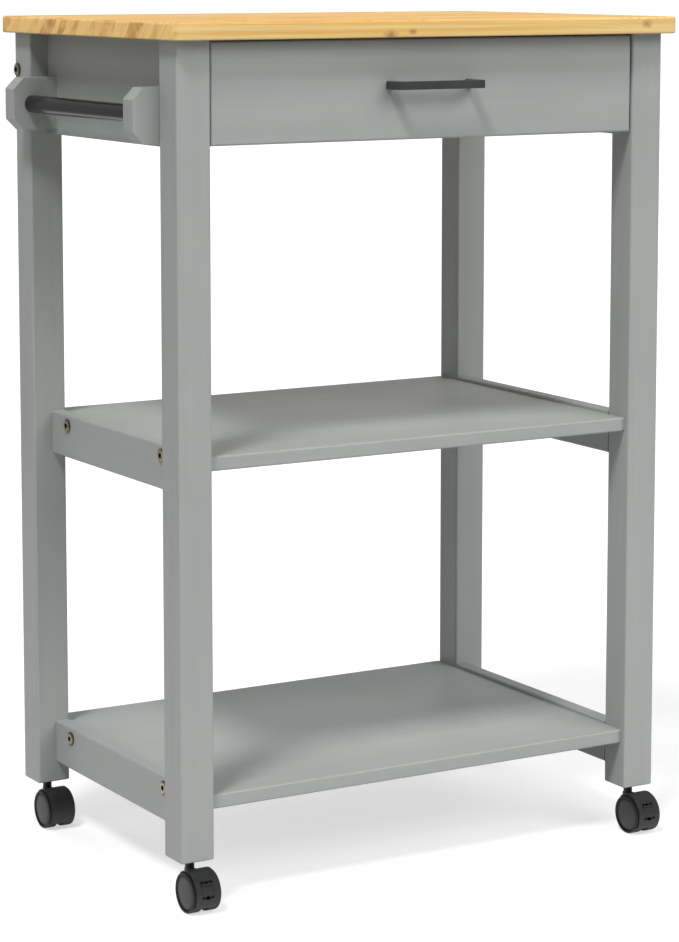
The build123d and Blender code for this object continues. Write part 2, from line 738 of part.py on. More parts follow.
def make_hood(x, y, z, stem_y, braked, name):
    """The caster's body: arched hood, middle web with the axle hole, and the stem boss."""
    with BuildPart() as hood:
        add(ring_sector(x, y, z, hood_inner, hood_outer, hood_back_angle, hood_front_angle, hood_half))
        with BuildSketch(facing_x(x, y, z)):
            Circle(17)
        extrude(amount=web_half, both=True)
        add(ring_sector(x, y, z, 10, hood_inner + 0.4, hood_back_angle, 195, web_half))
        with BuildSketch(facing_x(x, y, z)):
            Polygon((6, 0), (19.5, 2), (caster_trail + boss_radius, 14),
                    (caster_trail + boss_radius, 19), (6, 20), align=None)
        extrude(amount=web_half, both=True)
        boss_z = z + boss_bottom
        add(rod(boss_radius, (x, stem_y, boss_z), (0, 0, 1), boss_top - boss_z))
        bore_start = (x, stem_y, z + stem_bottom - 0.1)
        add(rod(stem_radius + 0.02, bore_start, (0, 0, 1), 20), mode=Mode.SUBTRACT)
        with BuildSketch(facing_x(x, y, z)):
            Circle(axle_radius + 0.02)
        extrude(amount=web_half + 1, both=True, mode=Mode.SUBTRACT)
        if braked:
            window = ring_sector(x, y, z, hood_inner - 0.1, hood_outer + 2, 139, 186, lever_half + 0.25)
            add(window, mode=Mode.SUBTRACT)
            slot = slab((x - 2.4, y - 26, z - 3.4), (x + 2.4, y - 11.5, z + 13.5))
            add(slot, mode=Mode.SUBTRACT)
            with BuildSketch(facing_x(x, y, z)):
                with Locations(lever_pivot):
                    Circle(1 + slip)
            extrude(amount=web_half + 1, both=True, mode=Mode.SUBTRACT)
    save(hood, name)


def make_stem(x, stem_y, z, name):
    """The steel stem: pressed into the hood, free to turn in the leg's socket."""
    bottom = z + stem_bottom
    top = caster_height + 34
    with BuildPart() as stem:
        with BuildSketch(Plane((x, stem_y, bottom))):
            Circle(stem_radius)
        extrude(amount=top - bottom)
        chamfer(stem.faces().sort_by(Axis.Z)[-1].edges(), length=1.2)
        with BuildSketch(Plane((x, stem_y, top - 7))):
            Circle(stem_radius + 1)
            Circle(stem_radius - 0.8, mode=Mode.SUBTRACT)
        extrude(amount=2, mode=Mode.SUBTRACT)
    save(stem, name)


def make_axle(x, y, z, name):
    """The steel axle that both wheels turn on."""
    with BuildPart() as axle:
        with BuildSketch(facing_x(x, y, z)):
            Circle(axle_radius)
        extrude(amount=caster_half_width - 3.4, both=True)
        for face in axle.faces().filter_by(Axis.X):
            chamfer(face.edges(), length=0.4)
    save(axle, name)


def make_wheel(x, y, z, side, name):
    """One hollow-backed wheel: flat tread, rounded shoulder and a shallow domed face."""
    inner = caster_half_width - wheel_width
    rim_edge = wheel_radius - 1.3
    dome_rise = 1.1
    dome_radius = (rim_edge**2 + dome_rise**2) / (2 * dome_rise)
    half_radius = rim_edge / 2
    dome_middle = caster_half_width - dome_radius + sqrt(dome_radius**2 - half_radius**2)
    shoulder = caster_half_width - dome_rise
    bore = axle_radius + slip
    with BuildPart() as wheel:
        with BuildSketch(Plane((x, y, z), x_dir=(side, 0, 0), z_dir=(0, 0, side))):
            with BuildLine():
                Polyline((caster_half_width, 0), (12.9, 0), (12.9, bore), (inner, bore), (inner, 5.5),
                         (10, 5.5), (10, 17.5), (inner, 17.5), (inner, wheel_radius - 0.5),
                         (inner + 0.5, wheel_radius), (shoulder - 1.4, wheel_radius))
                ThreePointArc((shoulder - 1.4, wheel_radius), (shoulder - 0.4, wheel_radius - 0.4),
                              (shoulder, rim_edge))
                ThreePointArc((shoulder, rim_edge), (dome_middle, half_radius), (caster_half_width, 0))
            make_face()
        revolve(axis=Axis((x, y, z), (1, 0, 0)))
    save(wheel, name)


def make_lever(x, y, z, name):
    """The brake lever: a curved plate in the hood's window on an arm with two trunnions."""
    with BuildPart() as lever:
        add(ring_sector(x, y, z, hood_inner + 0.2, hood_outer + 0.1, lever_top_angle,
                        lever_bottom_angle, lever_half))
        add(ring_sector(x, y, z, hood_outer - 0.3, hood_outer + 1.6, lever_top_angle,
                        lever_top_angle + 4, lever_half))
        with BuildSketch(facing_x(x, y, z)):
            Polygon((-14.5, 0.7), (-20.9, 7.5), (-21.9, 5), (-21.9, 1), (-16, -2.9), align=None)
            with Locations(lever_pivot):
                Circle(2)
        extrude(amount=2.2, both=True)
        with BuildSketch(facing_x(x, y, z)):
            with Locations(lever_pivot):
                Circle(1)
        extrude(amount=web_half - 0.1, both=True)
    save(lever, name)


for end_name, end in ENDS.items():
    for side_name, side in SIDES.items():
        place = f"{end_name}_{side_name}"
        stem_x = mid_x + side * leg_centre_x
        stem_y = mid_y + end * leg_centre_y
        axle_y = stem_y - caster_trail
        braked = end < 0
        make_hood(stem_x, axle_y, wheel_radius, stem_y, braked, f"caster_hood_{place}")
        make_stem(stem_x, stem_y, wheel_radius, f"caster_stem_{place}")
        make_axle(stem_x, axle_y, wheel_radius, f"caster_axle_{place}")
        make_wheel(stem_x, axle_y, wheel_radius, -1, f"wheel_{place}_a")
        make_wheel(stem_x, axle_y, wheel_radius, 1, f"wheel_{place}_b")
        if braked:
            make_lever(stem_x, axle_y, wheel_radius, f"brake_lever_{place}")
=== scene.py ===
"""Kitchen island cart: materials, details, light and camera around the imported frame."""
import bpy
import json
import math
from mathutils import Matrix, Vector


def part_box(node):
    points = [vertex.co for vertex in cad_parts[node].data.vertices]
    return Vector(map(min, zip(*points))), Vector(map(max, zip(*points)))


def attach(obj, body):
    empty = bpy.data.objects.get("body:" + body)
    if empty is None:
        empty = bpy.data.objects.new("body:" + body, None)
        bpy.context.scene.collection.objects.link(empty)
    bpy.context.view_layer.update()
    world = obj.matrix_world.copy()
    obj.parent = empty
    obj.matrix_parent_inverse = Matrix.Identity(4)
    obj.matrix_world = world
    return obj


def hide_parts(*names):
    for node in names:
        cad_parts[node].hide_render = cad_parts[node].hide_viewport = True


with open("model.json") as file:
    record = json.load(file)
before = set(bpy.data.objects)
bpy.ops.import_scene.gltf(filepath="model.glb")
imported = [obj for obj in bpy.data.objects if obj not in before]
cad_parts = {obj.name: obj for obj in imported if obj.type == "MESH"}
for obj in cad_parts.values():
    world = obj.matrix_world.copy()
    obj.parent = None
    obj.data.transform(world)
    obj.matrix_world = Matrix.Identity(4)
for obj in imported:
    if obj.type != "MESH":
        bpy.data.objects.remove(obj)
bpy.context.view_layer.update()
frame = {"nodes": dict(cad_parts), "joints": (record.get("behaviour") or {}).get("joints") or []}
nodes = frame["nodes"]


# ---------------------------------------------------------------- sizes, places and tones
# Satin grey paint over pine.
PAINT_DARK = (0.302, 0.315, 0.304)
PAINT_MID = (0.324, 0.338, 0.326)
PAINT_LIGHT = (0.348, 0.362, 0.350)

# Lacquered pine of the worktop.
PINE_LIGHT = (0.99, 0.745, 0.335)
PINE_DARK = (0.62, 0.34, 0.09)

# All the pine: its end grain, then painted shade on its upright faces and on its undersides.
END_BLOCK = 0.0145
END_PALE = (0.95, 0.62, 0.215)
END_BROWN = (0.50, 0.235, 0.052)
UPRIGHT_PAINTED_SHADE = (0.84, 0.90, 0.99)
UNDERSIDE_PAINTED_SHADE = (0.46, 0.56, 1.0)
DEPTH_MIDDLE = sum(corner.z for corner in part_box("tabletop")) / 2  # height of the worktop's middle

# Bare pine inside the drawer.
RAW_LIGHT = (0.80, 0.62, 0.38)
RAW_DARK = (0.60, 0.38, 0.17)

# Knots in the worktop: where they are, and their size.
TOP_KNOTS = [
    (0.272, -0.204, 0.893, 0.0045),
    (-0.048, -0.204, 0.885, 0.0048),
    (-0.022, -0.204, 0.888, 0.0030),
    (-0.296, 0.110, 0.890, 0.0055),
    (-0.296, -0.060, 0.888, 0.0040),
    (-0.090, 0.060, 0.900, 0.0085),
    (0.130, 0.150, 0.900, 0.0100),
    (0.020, -0.120, 0.900, 0.0065),
    (-0.200, -0.165, 0.900, 0.0050),
    (0.210, -0.020, 0.900, 0.0060),
]

# The middles of the furniture bolts, which share one CAD node: the shelf rails', then the back apron's. The
# painted highlight and painted shade on the bolt heads are laid out round them.
BOLT_YS = (-0.1065, 0.119)
BOLT_ZS = (0.4575, 0.1085)
BACK_Y = 0.1885
BACK_ZS = (0.842, 0.802)

# Half section of a caster wheel in millimetres: distance along the axle, then radius.
WHEEL_PROFILE = [
    (15.9, 0.0), (15.86, 4.0), (15.7, 9.0), (15.35, 13.5), (14.9, 17.1), (14.25, 17.5), (14.2, 17.9),
    (15.3, 18.2), (15.8, 18.7), (15.98, 19.3), (15.9, 20.0), (15.5, 20.6), (14.7, 20.95), (13.9, 21.0),
    (5.2, 21.0), (4.5, 20.85), (4.1, 20.4), (4.05, 17.6), (10.0, 17.4), (10.0, 5.6), (4.05, 5.5),
    (4.05, 2.6), (12.9, 2.6), (12.9, 0.0),
]
DISC_POINTS = 5  # the first points of the profile belong to the domed disc
RING_STEPS = 96

# The middle of the axle that each wheel turns about, by the wheel's CAD node.
AXLES = {
    joint["child"]: joint["pos_m"]
    for joint in frame["joints"]
    if joint["child"].startswith("wheel_")
}


# ---------------------------------------------------------------- node helpers
class Graph:
    """A short way to write one material's nodes."""

    def __init__(self, name):
        self.material = bpy.data.materials.new(name)
        self.material.use_nodes = True
        self.tree = self.material.node_tree
        self.tree.nodes.clear()
        self.out = self.tree.nodes.new("ShaderNodeOutputMaterial")
        self.shader = self.tree.nodes.new("ShaderNodeBsdfPrincipled")
        self.tree.links.new(self.shader.outputs[0], self.out.inputs["Surface"])
        self.coords = self.tree.nodes.new("ShaderNodeTexCoord")
        self.place = self.coords.outputs["Object"]

    def put(self, socket, value):
        if isinstance(value, bpy.types.NodeSocket):
            self.tree.links.new(value, socket)
        elif value is not None:
            socket.default_value = value

    def math(self, operation, a, b=None, c=None, clamp=False):
        node = self.tree.nodes.new("ShaderNodeMath")
        node.operation = operation
        node.use_clamp = clamp
        for socket, value in zip(node.inputs, (a, b, c)):
            self.put(socket, value)
        return node.outputs[0]

    def vector(self, operation, a, b=None, scale=None):
        node = self.tree.nodes.new("ShaderNodeVectorMath")
        node.operation = operation
        self.put(node.inputs[0], a)
        if b is not None:
            self.put(node.inputs[1], b)
        if scale is not None:
            self.put(node.inputs["Scale"], scale)
        return node.outputs["Value" if operation in ("LENGTH", "DISTANCE", "DOT_PRODUCT") else "Vector"]

    def split(self, value):
        node = self.tree.nodes.new("ShaderNodeSeparateXYZ")
        self.put(node.inputs[0], value)
        return node.outputs

    def join(self, x, y, z):
        node = self.tree.nodes.new("ShaderNodeCombineXYZ")
        for socket, value in zip(node.inputs, (x, y, z)):
            self.put(socket, value)
        return node.outputs[0]

    def noise(self, place, scale, detail=2.0, roughness=0.5, distortion=0.0):
        node = self.tree.nodes.new("ShaderNodeTexNoise")
        self.put(node.inputs["Vector"], place)
        node.inputs["Scale"].default_value = scale
        node.inputs["Detail"].default_value = detail
        node.inputs["Roughness"].default_value = roughness
        node.inputs["Distortion"].default_value = distortion
        return node.outputs["Fac"]

    def white(self, value):
        node = self.tree.nodes.new("ShaderNodeTexWhiteNoise")
        node.noise_dimensions = "1D"
        self.put(node.inputs["W"], value)
        return self.split(node.outputs["Color"])

    def ramp(self, value, stops, interpolation="LINEAR"):
        node = self.tree.nodes.new("ShaderNodeValToRGB")
        self.put(node.inputs[0], value)
        ramp = node.color_ramp
        ramp.interpolation = interpolation
        while len(ramp.elements) < len(stops):
            ramp.elements.new(0.5)
        for element, (position, colour) in zip(ramp.elements, stops):
            element.position = position
            rgb = (colour,) * 3 if isinstance(colour, (int, float)) else colour
            element.color = (*rgb, 1.0)
        return node.outputs["Color"]

    def span(self, value, low, high, to_low=0.0, to_high=1.0):
        node = self.tree.nodes.new("ShaderNodeMapRange")
        node.clamp = True
        for socket, number in zip(node.inputs, (value, low, high, to_low, to_high)):
            self.put(socket, number)
        return node.outputs[0]

    def blend(self, kind, amount, a, b):
        node = self.tree.nodes.new("ShaderNodeMix")
        node.data_type = "RGBA"
        node.blend_type = kind
        self.put(node.inputs[0], amount)
        for socket, value in ((node.inputs[6], a), (node.inputs[7], b)):
            self.put(socket, value if isinstance(value, bpy.types.NodeSocket) else (*value, 1.0))
        return node.outputs[2]

    def bump(self, height, strength, distance, below=None):
        node = self.tree.nodes.new("ShaderNodeBump")
        node.inputs["Strength"].default_value = strength
        node.inputs["Distance"].default_value = distance
        self.put(node.inputs["Height"], height)
        if below is not None:
            self.put(node.inputs["Normal"], below)
        return node.outputs[0]

    def finish(self, colour, roughness, normal=None, **constants):
        self.put(self.shader.inputs["Base Color"], colour)
        self.put(self.shader.inputs["Roughness"], roughness)
        if normal is not None:
            self.put(self.shader.inputs["Normal"], normal)
        for name, value in constants.items():
            self.shader.inputs[name.replace("_", " ")].default_value = value
        return self.material


def along(graph, axis):
    """Object coordinates with the timber's length first, then its width and its depth."""
    x, y, z = graph.split(graph.place)
    order = {"x": (x, y, z), "y": (y, x, z), "z": (z, x, y)}[axis]
    return graph.join(*order)


# ---------------------------------------------------------------- materials
def painted_wood(name, axis, seed):
    """Satin grey lacquer over pine: faint grain telegraphs through, with soft roller mottling."""
    g = Graph(name)
    place = g.vector("ADD", along(g, axis), (seed * 1.7, seed * 0.9, seed * 2.3))
    streaks = g.noise(g.vector("MULTIPLY", place, (4.0, 110.0, 110.0)), 1.0, 3.0, 0.55)
    bands = g.noise(g.vector("MULTIPLY", place, (1.6, 26.0, 26.0)), 1.0, 2.0, 0.5)
    mottle = g.noise(place, 9.0, 3.0, 0.6)
    peel = g.noise(place, 900.0, 2.0, 0.5)
    tone = g.math("MULTIPLY", mottle, 0.35)
    tone = g.math("MULTIPLY_ADD", bands, 0.35, tone)
    tone = g.math("MULTIPLY_ADD", streaks, 0.30, tone)
    colour = g.ramp(tone, [
        (0.30, PAINT_DARK),
        (0.50, PAINT_MID),
        (0.70, PAINT_LIGHT),
    ])
    roughness = g.span(mottle, 0.3, 0.7, 0.40, 0.50)
    normal = g.bump(streaks, 0.22, 0.00035)
    normal = g.bump(peel, 0.10, 0.00012, normal)
    return g.finish(colour, roughness, normal, IOR=1.45)


def pine(name, axis, seed, stave, tint, finish_rough, knots=(), lacquer=0.0):
    """Solid glued pine: growth rings about a pith line in each stave, so faces, edges and ends agree."""
    g = Graph(name)
    place = along(g, axis)
    length, across, depth = g.split(place)
    slot = g.math("DIVIDE", across, stave)
    index = g.math("FLOOR", g.math("ADD", slot, 40.5))
    r1, r2, r3 = g.white(g.math("ADD", index, seed * 13.0))
    q1, q2, q3 = g.white(g.math("ADD", index, seed * 13.0 + 77.3))
    inside = g.math("SUBTRACT", g.math("FRACT", g.math("ADD", slot, 40.5)), 0.5)
    local = g.math("MULTIPLY", inside, stave)
    shift = g.math("MULTIPLY", r1, 7.0)
    wander_place = g.join(
        g.math("MULTIPLY_ADD", length, 2.4, shift),
        g.math("MULTIPLY_ADD", local, 16.0, g.math("MULTIPLY", q1, 9.0)),
        g.math("MULTIPLY", depth, 16.0),
    )
    wander = g.math("MULTIPLY", g.math("SUBTRACT", g.noise(wander_place, 1.0, 2.0, 0.45), 0.5), 0.022)
    ripple_place = g.join(
        g.math("MULTIPLY_ADD", length, 16.0, shift),
        g.math("MULTIPLY", local, 60.0),
        g.math("MULTIPLY", depth, 60.0),
    )
    ripple = g.math("MULTIPLY", g.math("SUBTRACT", g.noise(ripple_place, 1.0, 2.0, 0.5), 0.5), 0.0030)
    pith_y = g.math("MULTIPLY", g.math("SUBTRACT", r2, 0.5), 0.11)
    pith_z = g.math("MULTIPLY_ADD", q2, -0.075, -0.012)
    dy = g.math("SUBTRACT", local, pith_y)
    dz = g.math("SUBTRACT", g.math("SUBTRACT", depth, DEPTH_MIDDLE), pith_z)
    radius = g.math("SQRT", g.math("ADD", g.math("MULTIPLY", dy, dy), g.math("MULTIPLY", dz, dz)))
    radius = g.math("ADD", radius, g.math("ADD", wander, ripple))
    knot_heart = None
    for (kx, ky, kz, size) in knots:
        away = g.vector("SUBTRACT", place, (kx, ky, kz))
        away = g.vector("MULTIPLY", away, (0.55, 1.0, 0.95))
        warp = g.math("MULTIPLY", g.noise(place, 160.0, 2.0), 0.9)
        near = g.math("DIVIDE", g.vector("LENGTH", away), size)
        near = g.math("ADD", near, g.math("SUBTRACT", warp, 0.45))
        pull = g.math("POWER", 2.718, g.math("MULTIPLY", g.math("MULTIPLY", near, near), -0.12))
        radius = g.math("MULTIPLY_ADD", pull, 0.010, radius)
        heart = g.span(near, 0.25, 1.15, 1.0, 0.0)
        knot_heart = heart if knot_heart is None else g.math("MAXIMUM", knot_heart, heart)
    spacing = g.math("MULTIPLY_ADD", r3, 0.0022, 0.0026)
    ring = g.math("FRACT", g.math("DIVIDE", radius, spacing))
    late = g.ramp(ring, [(0.0, 0.10), (0.45, 0.16), (0.80, 0.75), (0.90, 1.0), (0.97, 0.25), (1.0, 0.10)])
    ring_look = g.noise(g.vector("MULTIPLY", place, (3.0, 30.0, 30.0)), 1.0, 1.0)
    ring_look = g.span(ring_look, 0.35, 0.65, 0.45, 1.0)
    up = g.math("ABSOLUTE", g.split(g.coords.outputs["Normal"])[2])
    # Mask of the upright faces: it softens the rings there, and below it carries their painted shade.
    shade = g.span(up, 0.3, 0.8, 1.0, 0.0)
    late = g.math("MULTIPLY", late, g.math("MULTIPLY_ADD", shade, -0.50, ring_look), clamp=True)
    light, dark = tint
    base = g.blend("MIX", late, light, dark)
    fibre = g.noise(g.vector("MULTIPLY", place, (18.0, 900.0, 900.0)), 1.0, 3.0, 0.6)
    base = g.blend("MULTIPLY", g.span(fibre, 0.35, 0.75, 0.0, 0.16), base, (0.80, 0.66, 0.46))
    sweep = g.noise(g.vector("MULTIPLY", place, (2.2, 120.0, 120.0)), 1.0, 2.0, 0.6)
    base = g.blend("MULTIPLY", g.span(sweep, 0.42, 0.66, 0.0, 0.85), base, (0.88, 0.74, 0.54))
    band = g.noise(g.vector("MULTIPLY", place, (1.5, 34.0, 170.0)), 1.0, 2.0, 0.5)
    base = g.blend("MULTIPLY", g.span(band, 0.44, 0.60, 0.0, 0.80), base, (0.93, 0.80, 0.58))
    warm = g.span(q3, 0.1, 0.9, 0.0, 0.90)
    base = g.blend("MULTIPLY", warm, base, (0.94, 0.81, 0.62))
    base = g.blend("MULTIPLY", g.span(r1, 0.0, 1.0, 0.0, 0.28), base, (0.90, 0.84, 0.74))
    edge = g.math("ABSOLUTE", inside)
    joint = g.span(edge, 0.5 - 0.0009 / stave, 0.5 - 0.0002 / stave, 0.0, 0.50)
    base = g.blend("MULTIPLY", joint, base, (0.55, 0.38, 0.20))
    if knot_heart is not None:
        swirl = g.noise(g.vector("MULTIPLY", place, (60.0, 120.0, 120.0)), 1.0, 3.0, 0.6, 1.5)
        core = g.blend("MIX", g.span(swirl, 0.35, 0.65), (0.30, 0.135, 0.045), (0.46, 0.23, 0.085))
        base = g.blend("MIX", g.math("MULTIPLY", knot_heart, 0.85), base, core)
    normal_axis = g.split(g.coords.outputs["Normal"])["XYZ".index(axis.upper())]
    end = g.span(g.math("ABSOLUTE", normal_axis), 0.75, 0.95)
    slant = g.math("MULTIPLY_ADD", depth, 0.95, across)
    block_wave = g.noise(g.join(2.0, g.math("MULTIPLY", across, 60.0), 0.0), 1.0, 1.0)
    block_wave = g.math("MULTIPLY", block_wave, 1.2)
    block = g.math("DIVIDE", g.math("ADD", slant, 2.0), END_BLOCK)
    block = g.math("FLOOR", g.math("ADD", block, block_wave))
    block_tone, block_shift = g.white(g.math("ADD", block, seed * 5.0))[:2]
    lines_place = g.join(
        g.math("MULTIPLY", block_shift, 9.0),
        g.math("MULTIPLY", slant, 330.0),
        g.math("MULTIPLY", depth, 30.0),
    )
    lines = g.noise(lines_place, 1.0, 2.0)
    patch = g.noise(g.join(1.0, g.math("MULTIPLY", across, 60.0), g.math("MULTIPLY", depth, 90.0)), 1.0, 2.0)
    dark_block = g.span(block_tone, 0.50, 0.85, 0.0, 0.85)
    brown = g.math("MULTIPLY", dark_block, g.span(patch, 0.36, 0.60, 0.35, 1.0))
    brown = g.math("ADD", brown, g.span(lines, 0.45, 0.70, 0.0, 0.25), clamp=True)
    end_base = g.blend("MIX", brown, END_PALE, END_BROWN)
    end_base = g.blend("MULTIPLY", joint, end_base, (0.75, 0.62, 0.45))
    # Painted shade: the upright faces are darkened.
    base = g.blend("MULTIPLY", shade, base, UPRIGHT_PAINTED_SHADE)
    base = g.blend("MIX", end, base, end_base)
    # Painted shade: the undersides are darkened and greyed.
    painted_underside_shade = g.span(g.split(g.coords.outputs["Normal"])[2], -0.9, -0.5, 1.0, 0.0)
    base = g.blend("MULTIPLY", painted_underside_shade, base, UNDERSIDE_PAINTED_SHADE)
    pores = g.noise(g.vector("MULTIPLY", place, (70.0, 1500.0, 1500.0)), 1.0, 2.0, 0.6)
    height = g.math("MULTIPLY_ADD", late, 0.6, g.math("MULTIPLY", pores, 0.5))
    height = g.math("SUBTRACT", height, g.math("MULTIPLY", joint, 0.7))
    normal = g.bump(height, 0.25, 0.00025)
    roughness = g.span(fibre, 0.3, 0.7, finish_rough - 0.05, finish_rough + 0.07)
    return g.finish(base, roughness, normal, IOR=1.5, Coat_Weight=lacquer, Coat_Roughness=0.28)


def moulded_plastic(name, dark, light, rough, grain):
    """Injection-moulded plastic: fine spark texture, slight scuffing on the roughness."""
    g = Graph(name)
    scuffs = g.noise(g.place, 70.0, 4.0, 0.65, 0.6)
    colour = g.ramp(scuffs, [(0.25, dark), (0.75, light)])
    spark = g.noise(g.place, 2600.0, 2.0, 0.6)
    waves = g.noise(g.place, 160.0, 1.0, 0.5)
    normal = g.bump(spark, grain, 0.00010)
    normal = g.bump(waves, 0.05, 0.0003, normal)
    return g.finish(colour, g.span(scuffs, 0.3, 0.7, rough - 0.05, rough + 0.07), normal, IOR=1.5)


def coated_metal(name, dark, light, rough, peel_depth):
    """Black powder coat with a satin gloss and very slight orange peel."""
    g = Graph(name)
    cloud = g.noise(g.place, 45.0, 3.0, 0.55)
    colour = g.ramp(cloud, [(0.3, dark), (0.7, light)])
    peel = g.noise(g.place, 700.0, 2.0, 0.5)
    normal = g.bump(peel, peel_depth, 0.00010)
    return g.finish(colour, g.span(cloud, 0.3, 0.7, rough - 0.02, rough + 0.04), normal, IOR=1.5)


def plated_metal(name, dark, light, rough, turning):
    """Plated steel: blotchy plating tone and fine machining marks."""
    g = Graph(name)
    blotch = g.noise(g.place, 320.0, 4.0, 0.6)
    colour = g.ramp(blotch, [(0.3, dark), (0.7, light)])
    marks = g.noise(g.vector("MULTIPLY", g.place, turning), 1.0, 2.0, 0.6)
    normal = g.bump(marks, 0.25, 0.00008)
    return g.finish(colour, g.span(blotch, 0.3, 0.7, rough - 0.06, rough + 0.10), normal, Metallic=1.0)


def bolt_brass(name):
    """Antique brass plating of random tone, with a painted highlight on the head's flat and painted shade in
    the socket and at the rim.
    """
    g = Graph(name)
    y, z = g.split(g.place)[1:3]
    side_gap = g.math("MINIMUM", g.math("ABSOLUTE", g.math("SUBTRACT", y, BOLT_YS[0])),
                      g.math("ABSOLUTE", g.math("SUBTRACT", y, BOLT_YS[1])))
    shelf_gap = g.math("MINIMUM", g.math("ABSOLUTE", g.math("SUBTRACT", z, BOLT_ZS[0])),
                       g.math("ABSOLUTE", g.math("SUBTRACT", z, BOLT_ZS[1])))
    side_radius = g.vector("LENGTH", g.join(side_gap, shelf_gap, 0.0))
    back_z = g.math("MINIMUM", g.math("ABSOLUTE", g.math("SUBTRACT", z, BACK_ZS[0])),
                    g.math("ABSOLUTE", g.math("SUBTRACT", z, BACK_ZS[1])))
    back_radius = g.vector("LENGTH", g.join(g.math("SUBTRACT", y, BACK_Y), back_z, 0.0))
    radius = g.math("MINIMUM", side_radius, back_radius)
    blotch = g.noise(g.place, 420.0, 4.0, 0.6)
    worn = g.ramp(blotch, [(0.3, (0.28, 0.22, 0.12)), (0.7, (0.66, 0.58, 0.39))])
    # Painted light by distance from each bolt's middle: painted shade in the hex socket, a painted highlight
    # on the head's flat, painted shade towards the rim.
    shade = g.ramp(g.span(radius, 0.0, 0.0075), [
        (0.0, 0.03), (0.36, 0.05), (0.44, 0.85), (0.62, 1.0), (0.76, 0.60), (0.90, 0.35), (1.0, 0.22),
    ])
    colour = g.blend("MULTIPLY", 1.0, worn, shade)
    marks = g.noise(g.vector("MULTIPLY", g.place, (1600.0, 900.0, 900.0)), 1.0, 2.0, 0.6)
    roughness = g.span(blotch, 0.3, 0.7, 0.28, 0.42)
    return g.finish(colour, roughness, g.bump(marks, 0.25, 0.00008), Metallic=0.85)


finishes = {
    "paint_x": painted_wood("grey_paint_across", "x", 1.0),
    "paint_y": painted_wood("grey_paint_deep", "y", 2.0),
    "paint_z": painted_wood("grey_paint_upright", "z", 3.0),
    "top": pine("lacquered_pine", "x", 3.0, 0.046, (PINE_LIGHT, PINE_DARK), 0.45, TOP_KNOTS, 0.08),
    "raw_x": pine("raw_pine_across", "x", 5.0, 0.120, (RAW_LIGHT, RAW_DARK), 0.66),
    "raw_y": pine("raw_pine_deep", "y", 7.0, 0.120, (RAW_LIGHT, RAW_DARK), 0.66),
    "brass": bolt_brass("antique_brass"),
    "zinc": plated_metal(
        "bright_zinc", (0.52, 0.53, 0.55), (0.70, 0.71, 0.72), 0.32, (900.0, 900.0, 1600.0)),
    "slide": moulded_plastic("cream_epoxy_steel", (0.66, 0.65, 0.61), (0.72, 0.71, 0.67), 0.38, 0.05),
    "nylon": moulded_plastic("white_nylon", (0.70, 0.70, 0.68), (0.78, 0.78, 0.76), 0.40, 0.10),
    "bar": coated_metal("black_gloss_coat", (0.005, 0.005, 0.005), (0.009, 0.009, 0.009), 0.15, 0.03),
    "handle": coated_metal("black_powder_coat", (0.030, 0.033, 0.031), (0.042, 0.046, 0.043), 0.38, 0.14),
    "hood": moulded_plastic(
        "black_moulded_nylon", (0.014, 0.0145, 0.0145), (0.022, 0.023, 0.023), 0.44, 0.22),
    "tread": moulded_plastic(
        "black_wheel_plastic", (0.003, 0.003, 0.003), (0.006, 0.006, 0.006), 0.54, 0.20),
    "disc": moulded_plastic("dark_disc_plastic", (0.022, 0.0225, 0.022), (0.032, 0.033, 0.032), 0.42, 0.16),
    "socket": moulded_plastic("grey_socket_plastic", (0.62, 0.63, 0.62), (0.74, 0.75, 0.74), 0.48, 0.12),
}

LOOKS = {
    "tabletop": "top",
    "leg_": "paint_z",
    "side_apron_": "paint_y",
    "back_apron": "paint_x",
    "shelf_rail_": "paint_y",
    "middle_shelf": "paint_x",
    "bottom_shelf": "paint_x",
    "towel_bracket_": "paint_z",
    "drawer_front": "paint_x",
    "frame_dowels": "raw_x",
    "drawer_dowels": "raw_y",
    "drawer_side_": "raw_y",
    "drawer_back": "raw_x",
    "drawer_bottom": "raw_x",
    "connector_bolts": "brass",
    "barrel_nuts": "brass",
    "top_brackets": "zinc",
    "frame_screws": "zinc",
    "handle_screws": "zinc",
    "drawer_screws": "zinc",
    "caster_stem_": "zinc",
    "caster_axle_": "zinc",
    "cabinet_slide_": "slide",
    "drawer_runner_": "slide",
    "cabinet_rollers": "nylon",
    "drawer_rollers": "nylon",
    "towel_bar": "bar",
    "drawer_handle": "handle",
    "caster_sockets": "socket",
    "caster_hood_": "hood",
    "brake_lever_": "hood",
    "wheel_": "tread",
}


# ---------------------------------------------------------------- caster wheels
def turned_wheel(name, x, y, z, side):
    """A wheel as it is moulded: a domed disc inside a raised dark rim, hollow at the back round a hub."""
    points = []
    rings = []
    for out, radius in WHEEL_PROFILE:
        if radius == 0.0:
            rings.append([len(points)])
            points.append((x + side * out / 1000, y, z))
            continue
        ring = []
        for step in range(RING_STEPS):
            turn = 2 * math.pi * step / RING_STEPS
            ring.append(len(points))
            points.append((x + side * out / 1000, y + radius / 1000 * math.cos(turn),
                           z + radius / 1000 * math.sin(turn)))
        rings.append(ring)
    faces = []
    kinds = []
    for row, (a, b) in enumerate(zip(rings, rings[1:])):
        for step in range(RING_STEPS):
            after = (step + 1) % RING_STEPS
            if len(a) == 1:
                face = (a[0], b[step], b[after])
            elif len(b) == 1:
                face = (a[step], b[0], a[after])
            else:
                face = (a[step], b[step], b[after], a[after])
            faces.append(face if side > 0 else tuple(reversed(face)))
            kinds.append(1 if row < DISC_POINTS - 1 else 0)
    mesh = bpy.data.meshes.new(name)
    mesh.from_pydata(points, [], faces)
    mesh.materials.append(finishes["tread"])
    mesh.materials.append(finishes["disc"])
    for polygon, kind in zip(mesh.polygons, kinds):
        polygon.material_index = kind
        polygon.use_smooth = True
    mesh.update()
    wheel = bpy.data.objects.new(name, mesh)
    bpy.context.scene.collection.objects.link(wheel)
    return wheel


